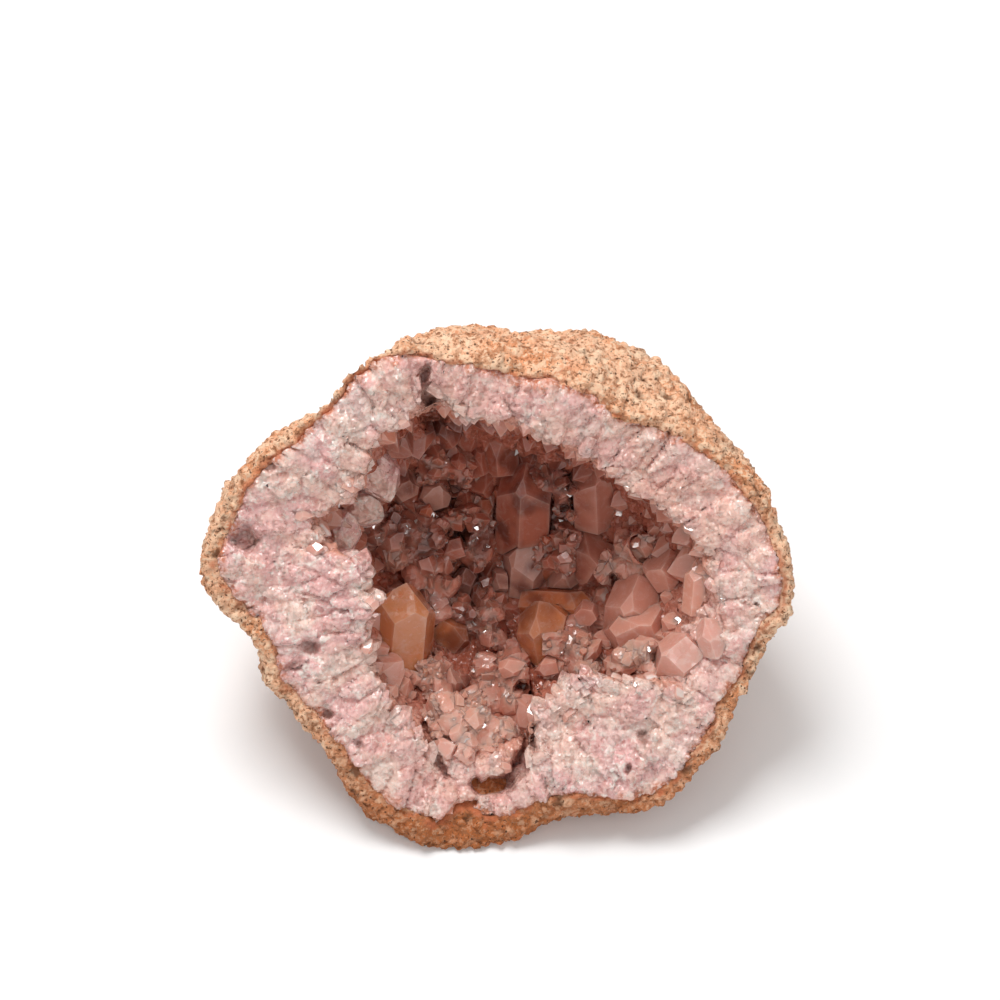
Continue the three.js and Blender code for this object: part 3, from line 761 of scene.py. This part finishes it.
class GeodeColours(bpy.types.PropertyGroup):
    """Colours of the stone, as seen."""

    sand: colour("Sand", "Most of the rind", (0.98, 0.78, 0.64))
    ochre: colour("Ochre", "Deeper patches of the rind", (0.93, 0.63, 0.45))
    rust: colour("Rust", "Reddish patches of the rind", (0.80, 0.46, 0.32))
    # Colour of the painted shade on the rind's underside.
    underside_shade: colour("Soil", "Darker underside of the rind", (0.73, 0.43, 0.25))
    pale_grain: colour("Pale grain", "Light grains of the rind", (1.0, 0.87, 0.74))
    dark_grain: colour("Dark grain", "Dark grains of the rind", (0.62, 0.41, 0.28))
    # Speck also paints the shade in the rind's pits and between its grains.
    speck: colour("Speck", "Dark specks and pits of the rind", (0.33, 0.22, 0.15))
    milk: colour("Milk", "Milky part of the broken quartz", (1.0, 0.83, 0.77))
    lilac: colour("Lilac", "Lilac part of the broken quartz", (0.95, 0.74, 0.72))
    # White of the veins and clouds, also used for the painted highlights on crystal edges and
    # glinting facets.
    white_vein_and_highlight: colour("White vein", "Whitest veins and clouds", (1.0, 0.93, 0.89))
    smoky: colour("Smoky", "Greyer clear spots of the quartz", (0.86, 0.64, 0.60))
    iron: colour("Iron", "Rusty stain where the quartz meets the rind", (0.82, 0.50, 0.37))
    # Colour of the painted shade in the hollows of the quartz and its crystals.
    hollow_shade: colour("Pocket", "Dark stain in hollows", (0.50, 0.27, 0.20))
    rose: colour("Rose", "Crystals near the mouth of the cavity", (0.91, 0.67, 0.59))
    # Partly the clear crystals' own colour deep in the cavity, partly painted shade.
    dusky: colour("Dusky", "Clear crystals deep in the cavity", (0.80, 0.58, 0.51))
    # Partly a darker tint at the back of the cavity, partly painted shade.
    back_tint_and_shade: colour("Murk", "Darkest patches at the back of the cavity", (0.47, 0.24, 0.19))
    # Partly the crystals' own colour deep in the cavity, partly painted shade.
    deep: colour("Deep rose", "Crystals deep in the cavity", (0.74, 0.43, 0.34))
    clear: colour("Clear", "Nearly clear crystals", (0.90, 0.67, 0.59))
    amber: colour("Amber", "Iron-stained crystals", (0.87, 0.51, 0.33))
    golden: colour("Golden", "Brighter iron-stained crystals", (0.92, 0.64, 0.44))


class GeodeShapes(bpy.types.PropertyGroup):
    """Sizes of the stone's surface detail."""

    rind_mesh: length("Rind mesh", "Size of the rind's mesh faces", 1.2 * MM)
    wall_mesh: length("Wall mesh", "Size of the wall's mesh faces", 0.95 * MM)
    lump_height: length("Lump height", "Height of the rind's lumps", 1.3 * MM)
    grain_height: length("Grain height", "Height of the rind's grains", 1 * MM)
    pit_depth: length("Pit depth", "Depth of the rind's pits", 1.1 * MM)
    chip_size: length("Chip size", "Size of the broken quartz's chips", 4.2 * MM)
    druse_spacing: length("Druse spacing", "Distance between the lining's big points", 4.8 * MM)
    seed_spacing: length("Seed spacing", "Distance between the lining's small points", 4 * MM)
    glints: bpy.props.FloatProperty(
        name="Glints", description="Share of the small points that mirror the main light",
        subtype="FACTOR", min=0, max=1, default=0.24)
    mouth_spacing: length("Mouth spacing", "Distance between points at the mouth", 2.2 * MM)


class GeodeStage(bpy.types.PropertyGroup):
    """Camera, light and floor."""

    camera_distance: length("Camera distance", "From the middle of the face", 600 * MM)
    lens: bpy.props.FloatProperty(
        name="Lens", description="Focal length of the camera in millimetres", default=108)
    key_power: bpy.props.FloatProperty(
        name="Key light", description="Power of the overhead softbox", unit="POWER", default=2.8)
    key_size: length("Key light size", "Side of the overhead softbox", 260 * MM)
    fill_power: bpy.props.FloatProperty(
        name="Fill light", description="Power of the front softbox", unit="POWER", default=0.3)
    fill_size: length("Fill light size", "Side of the front softbox", 120 * MM)
    sky: bpy.props.FloatProperty(
        name="Sky", description="Brightness of the white surroundings", default=0.62)


# ---------------------------------------------------------------- pieces


class GEODE_OT_rind(bpy.types.Operator):
    """Make the rough granular rind"""

    bl_idname = "geode.rind"
    bl_label = "Rind"

    def execute(self, context):
        shapes = context.scene.geode_shapes
        mesh = remeshed("rind", shapes.rind_mesh, 2)
        wall = tree_of("quartz_wall")
        refined(mesh, gap_to(wall, face_middles(mesh)[0], NEAR) > 0.6 * MM)
        co, no = verts_of(mesh), normals_of(mesh)
        w = face_coords(co)[2]
        gap = gap_to(wall, co, NEAR)
        broken = ramp(no @ np.array(FACE_OUT), 0.45, 0.75) * (w > -6 * MM)
        hidden = (1 - ramp(gap, 0.5 * MM, 1.3 * MM)) * (1 - broken)
        lumps = layered(co, LUMP_SIZE, 3) + 0.5 * layered(co, SMALL_LUMP_SIZE, 7)
        grains = chips(co, GRAIN_SIZE, 11, 0.5)
        knobs = 0.5 - chips(co, KNOB_SIZE, 17, 0.0)[1]
        hollow = pits(co, PIT_SIZE, 23, PIT_SHARE)
        rise = (
            shapes.lump_height * lumps * (1 - 0.6 * broken)
            + shapes.grain_height * (0.8 * grains[0] + 0.5 * grains[1] - 0.9 * knobs)
            - shapes.pit_depth * hollow * (1 - broken))
        rise = np.maximum(rise, -0.5 * gap)
        co += no * (rise * (1 - hidden) + 0.2 * MM * hidden)[:, None]
        co[:, 2] = np.maximum(co[:, 2], CAD_BOX[0].z)
        mesh.vertices.foreach_set("co", co.ravel())
        ragged = gap + 0.9 * MM * waves(co, 1.6 * MM, 31)
        set_number(mesh, "stain", (1 - ramp(ragged, 0.3 * MM, 1.6 * MM)) * broken)
        # Pits and grain borders, which the rind's finish darkens as painted shade.
        set_number(mesh, "hollow", hollow + (1 - ramp(grains[1], 0.02, 0.16)) * 0.4)
        set_number(mesh, "chip", grains[2])
        new_piece("rind_stone", mesh, finish_for("rind"), "rind", "rind")
        return {"FINISHED"}


class GEODE_OT_wall(bpy.types.Operator):
    """Make the broken quartz wall"""

    bl_idname = "geode.wall"
    bl_label = "Quartz Wall"

    def execute(self, context):
        shapes = context.scene.geode_shapes
        mesh = remeshed("quartz_wall", shapes.wall_mesh, 1)
        rind = tree_of("rind")
        middles, facing = face_middles(mesh)
        refined(mesh, (facing @ np.array(FACE_OUT) > 0.2)
                & (face_coords(middles)[2] > -BROKEN_REACH)
                | (facing @ np.array(SIGHT_BACK) > 0.1) & (hollowed(middles, 1.3)[1] > 0))
        co, no = verts_of(mesh), normals_of(mesh)
        u, v, w = face_coords(co)
        gap = gap_to(rind, co, NEAR)
        broken = ramp(no @ np.array(FACE_OUT), 0.35, 0.7) * ramp(w, -BROKEN_REACH, -9 * MM)
        hidden = (1 - ramp(gap, 0.5 * MM, 1.2 * MM)) * (1 - broken)
        around = np.arctan2(v, u) * RAY_RADIUS
        rayed = np.stack([around, np.hypot(u, v) * 0.55, w], axis=1)
        coarse, border, own = chips(rayed, shapes.chip_size, 41, 0.7)
        fine = chips(co, shapes.chip_size * FINE_CHIP_SHARE, 53, 1.1)[0]
        bulge = layered(co, LUMP_SIZE, 61)
        rise = shapes.chip_size * (
            0.26 * coarse + 0.12 * ramp(border, 0, 0.3) + 0.09 * fine) + 0.9 * MM * bulge
        deep, inside = hollowed(co)
        sunk = deep * (no @ np.array(SIGHT_BACK) > 0) * (1 - hidden)
        edge = (1 - ramp(gap, 0.5 * MM, 1.8 * MM)) * (w > -4 * MM)
        spill = edge * (0.5 + 0.4 * waves(co, 2.4 * MM, 67)) * MM
        outward = np.stack([u, v], axis=1) / np.hypot(u, v)[:, None]
        outward = outward[:, :1] * np.array((1, 0, 0)) + outward[:, 1:] * np.array(FACE_UP)
        co += no * (rise * (1 - hidden) + 0.15 * MM * hidden)[:, None]
        co += outward * spill[:, None] - sunk[:, None] * np.array(SIGHT_BACK)
        mesh.vertices.foreach_set("co", co.ravel())
        ragged = gap + 1.0 * MM * waves(co, 1.8 * MM, 71)
        set_number(mesh, "stain", 1 - ramp(ragged, 0.3 * MM, 1.3 * MM))
        set_number(mesh, "inside", 1 - broken)
        set_number(mesh, "mouth", ramp(-w, 0, 5 * MM))
        # How far into a hollow each point lies, which the finish paints as shade.
        set_number(mesh, "hollow", inside * (sunk > 0))
        set_number(mesh, "chip", own)
        new_piece("quartz_wall_broken", mesh, finish_for("quartz_wall"), "quartz_wall",
                  "quartz_wall")
        return {"FINISHED"}


class GEODE_OT_mouth_points(bpy.types.Operator):
    """Make the quartz points that stand round the cavity's mouth"""

    bl_idname = "geode.mouth_points"
    bl_label = "Mouth Points"

    def execute(self, context):
        shapes = context.scene.geode_shapes
        rng = np.random.default_rng(6)
        corners, _, broken, cavity = wall_faces()
        lining = BVHTree.FromPolygons(
            corners[cavity].reshape(-1, 3).tolist(),
            [(3 * i, 3 * i + 1, 3 * i + 2) for i in range(cavity.sum())])
        spots, _ = spread_points(corners[broken], shapes.mouth_spacing, rng)
        inside = hollowed(spots)[1]
        rind = gap_to(tree_of("rind"), spots, 6 * MM)
        heap = Heap()
        for spot, sunk, spare in zip(spots, inside, rind):
            place, _, _, apart = lining.find_nearest(Vector(spot))
            if apart > MOUTH_REACH or sunk > SUNK_SHARE or spare < MOUTH_SPARE:
                continue
            radius = rng.uniform(*MOUTH_RADII) * MM
            inward = (place - Vector(spot)).normalized()
            centre = (CAVITY_FOCUS - Vector(spot)).normalized()
            growth = (inward * 0.5 + centre - FACE_OUT * rng.uniform(0, 0.5)
                      + Vector(rng.normal(0, 0.18, 3))).normalized()
            root = Vector(spot) - FACE_OUT * radius * rng.uniform(0.75, 1.15)
            grow_point(heap, rng, root, growth, radius, apart + radius * rng.uniform(0.6, 1.4))
        mesh = heap.mesh("mouth_points")
        set_number(mesh, "mouth", ramp(-face_coords(verts_of(mesh))[2], -1 * MM, 5 * MM))
        new_piece("mouth_points", mesh, finish_for("quartz_wall"), "quartz_wall")
        return {"FINISHED"}


class GEODE_OT_lining(bpy.types.Operator):
    """Make the lining of small quartz points on the cavity's wall"""

    bl_idname = "geode.lining"
    bl_label = "Crystal Lining"

    def execute(self, context):
        shapes = context.scene.geode_shapes
        rng = np.random.default_rng(8)
        corners, normal, _, cavity = wall_faces()
        kinds = []
        for spacing, (low, high, reach) in (
                (shapes.druse_spacing, BIG_POINTS), (shapes.seed_spacing, SMALL_POINTS)):
            spots, own = spread_points(corners[cavity], spacing, rng)
            radii = low + (high - low) * rng.random(len(spots)) ** 1.5
            kinds.append((spots, normal[cavity][own], radii, np.full(len(spots), reach)))
        spots, lean, radii, reaches = [np.concatenate(column) for column in zip(*kinds)]
        sunk = hollowed(spots)[1]
        u, v, w = face_coords(spots)
        radii *= 0.45 + 0.55 * ramp(-w, 4 * MM, 18 * MM)
        floor, left, right = v < LINING_FLOOR, u < LINING_LEFT, u > LINING_RIGHT
        roof = v >= LINING_ROOF
        zones = {
            "lining_floor": floor,
            "lining_left": ~floor & left,
            "lining_right": ~floor & right,
            "lining_roof": roof & ~left & ~right,
            "lining_back": ~floor & ~roof & ~left & ~right,
        }
        for name, chosen in zones.items():
            heap = Heap()
            for i in np.flatnonzero(chosen & (sunk < SUNK_SHARE)):
                centre = unit(np.array(CAVITY_FOCUS) - spots[i])
                growth, turn = unit(lean[i] + 0.5 * centre + rng.normal(0, 0.2, 3)), None
                if rng.random() < shapes.glints and radii[i] < GLINT_RADIUS:
                    growth, turn = shining(growth, rng)
                grow_point(heap, rng, spots[i] - growth * radii[i] * 0.3, growth, radii[i],
                           radii[i] * rng.uniform(0.6, 1) * reaches[i], turn=turn)
            new_piece(name, heap.mesh(name), finish_for("pink_crystal"), "pink_crystal")
        return {"FINISHED"}


class GEODE_OT_clusters(bpy.types.Operator):
    """Make the clusters of intergrown points, one for each mound"""

    bl_idname = "geode.clusters"
    bl_label = "Clusters"

    def execute(self, context):
        shapes = context.scene.geode_shapes
        rng = np.random.default_rng(13)
        slots = {s["node"]: s["material_slot"] for s in frame["record"]["subparts"]}
        for node in sorted(n for n in frame["nodes"] if n.startswith("druse_")):
            mound = remeshed(node, 0.7 * MM, 0)
            co, no = verts_of(mound), normals_of(mound)
            height, border, _ = chips(co, MOUND_CHIP_SIZE, 91, 0.9)
            deep, inside = hollowed(co)
            co += no * (1.5 * MM * height)[:, None]
            co -= (deep * (no @ np.array(SIGHT_BACK) > 0))[:, None] * np.array(SIGHT_BACK)
            corners, normal = corners_of(frame["nodes"][node].data)
            heap = Heap()
            # The borders of the mound's chips take the painted edge highlight.
            heap.add(co, [tuple(p.vertices) for p in mound.polygons], rng.random(),
                     ramp(0.3 - border, 0, 0.3))
            middle = corners.mean(axis=(0, 1))
            toward = unit(np.array(CAVITY_FOCUS) - middle)
            for spacing, low, high in CLUSTER_POINTS:
                spots, own = spread_points(corners, spacing * MM, rng)
                sunk = hollowed(spots)[1]
                for spot, out, hole in zip(spots, normal[own], sunk):
                    if (spot - middle) @ toward < -CLUSTER_BACK or hole > SUNK_SHARE:
                        continue
                    radius = rng.uniform(low, high) * MM
                    growth = unit(out + 0.7 * unit(spot - middle) + rng.normal(0, 0.2, 3))
                    turn = None
                    if rng.random() < shapes.glints and high * MM < GLINT_RADIUS:
                        growth, turn = shining(growth, rng)
                    grow_point(heap, rng, spot - growth * radius * 0.9, growth, radius,
                               radius * rng.uniform(0.9, 1.5), turn=turn)
            mesh = heap.mesh(node)
            # How far into a hollow each corner of the mound lies, which its finish paints as shade.
            hollow = np.zeros(len(mesh.vertices))
            hollow[:len(co)] = inside
            set_number(mesh, "hollow", hollow)
            new_piece(node + "_points", mesh, finish_for(slots[node]), slots[node], node)
        return {"FINISHED"}


class GEODE_OT_single_crystals(bpy.types.Operator):
    """Cut the single crystals with clean facets and painted highlights along their edges"""

    bl_idname = "geode.single_crystals"
    bl_label = "Single Crystals"

    def execute(self, context):
        slots = {s["node"]: s["material_slot"] for s in frame["record"]["subparts"]}
        rng = np.random.default_rng(17)
        for node in sorted(frame["nodes"]):
            if node.startswith("druse_") or node in ("rind", "quartz_wall"):
                continue
            work = bmesh.new()
            work.from_mesh(frame["nodes"][node].data)
            bmesh.ops.remove_doubles(work, verts=work.verts, dist=1e-7)
            bmesh.ops.dissolve_limit(
                work, angle_limit=math.radians(1.5), verts=work.verts, edges=work.edges)
            work.verts.index_update()
            verts = [v.co[:] for v in work.verts]
            faces = [tuple(v.index for v in f.verts) for f in work.faces]
            work.free()
            heap = Heap()
            verts, faces, rims = rimmed(verts, faces)
            heap.add(verts, faces, rng.random(), rims)
            new_piece(node + "_crystal", heap.mesh(node), finish_for(slots[node]), slots[node],
                      node)
        return {"FINISHED"}


class GEODE_OT_stage(bpy.types.Operator):
    """Set up the floor, the soft studio light and the camera"""

    bl_idname = "geode.stage"
    bl_label = "Stage"

    def execute(self, context):
        scene = context.scene
        stage = scene.geode_stage
        low, high = CAD_BOX
        middle = (low + high) / 2
        self.floor(low.z)
        self.light("key_softbox", KEY_PLACE, middle, stage.key_size, stage.key_power)
        self.light("front_softbox", FRONT_PLACE, middle, stage.fill_size, stage.fill_power)
        world = bpy.data.worlds.new("white_surroundings")
        world.use_nodes = True
        sky = world.node_tree.nodes["Background"]
        sky.inputs["Color"].default_value = (1, 1, 1, 1)
        sky.inputs["Strength"].default_value = stage.sky
        scene.world = world
        scene.view_settings.view_transform = "Standard"
        self.camera(scene, stage)
        return {"FINISHED"}

    def floor(self, level):
        mesh = bpy.data.meshes.new("floor")
        corners = [(x * FLOOR_REACH, y * FLOOR_REACH, level)
                   for x, y in ((-1, -1), (1, -1), (1, 1), (-1, 1))]
        mesh.from_pydata(corners, [], [(0, 1, 2, 3)])
        floor = bpy.data.objects.new("floor", mesh)
        bpy.context.scene.collection.objects.link(floor)
        finish = Finish("pale_floor")
        finish.surface(Base_Color=linear((0.97, 0.97, 0.97)), Roughness=0.6)
        mesh.materials.append(finish.material)

    def light(self, name, away, target, size, power):
        data = bpy.data.lights.new(name, "AREA")
        data.shape = "SQUARE"
        data.size = size
        data.energy = power
        lamp = bpy.data.objects.new(name, data)
        lamp.location = target + away
        lamp.rotation_euler = (-away).to_track_quat("-Z", "Y").to_euler()
        bpy.context.scene.collection.objects.link(lamp)

    def camera(self, scene, stage):
        data = bpy.data.cameras.new("camera")
        data.lens = stage.lens
        data.clip_start, data.clip_end = 0.01, 20
        camera = bpy.data.objects.new("camera", data)
        camera.location = FACE_MIDDLE + SIGHT_BACK * stage.camera_distance
        target = FACE_MIDDLE + CAMERA_AIM
        camera.rotation_euler = (target - camera.location).to_track_quat("-Z", "Y").to_euler()
        scene.collection.objects.link(camera)
        scene.camera = camera


OPERATORS = (
    GEODE_OT_rind,
    GEODE_OT_wall,
    GEODE_OT_mouth_points,
    GEODE_OT_lining,
    GEODE_OT_clusters,
    GEODE_OT_single_crystals,
    GEODE_OT_stage,
)


class GEODE_PT_panel(bpy.types.Panel):
    """Settings and steps of the geode half"""

    bl_idname = "GEODE_PT_panel"
    bl_label = "Geode Half"
    bl_space_type = "VIEW_3D"
    bl_region_type = "UI"
    bl_category = "Geode"

    def draw(self, context):
        layout = self.layout
        for operator in OPERATORS:
            layout.operator(operator.bl_idname)
        for group in GROUPS:
            settings = getattr(context.scene, group)
            for name in settings.__annotations__:
                layout.prop(settings, name)


GROUPS = {
    "geode_colours": GeodeColours,
    "geode_shapes": GeodeShapes,
    "geode_stage": GeodeStage,
}


def register():
    for cls in (*GROUPS.values(), *OPERATORS, GEODE_PT_panel):
        bpy.utils.register_class(cls)
    for name, group in GROUPS.items():
        setattr(bpy.types.Scene, name, bpy.props.PointerProperty(type=group))


def unregister():
    for name in GROUPS:
        delattr(bpy.types.Scene, name)
    for cls in reversed((*GROUPS.values(), *OPERATORS, GEODE_PT_panel)):
        bpy.utils.unregister_class(cls)


def main():
    register()
    bpy.ops.geode.rind()
    bpy.ops.geode.wall()
    bpy.ops.geode.mouth_points()
    bpy.ops.geode.lining()
    bpy.ops.geode.clusters()
    bpy.ops.geode.single_crystals()
    bpy.ops.geode.stage()


if __name__ == "__main__":
    main()
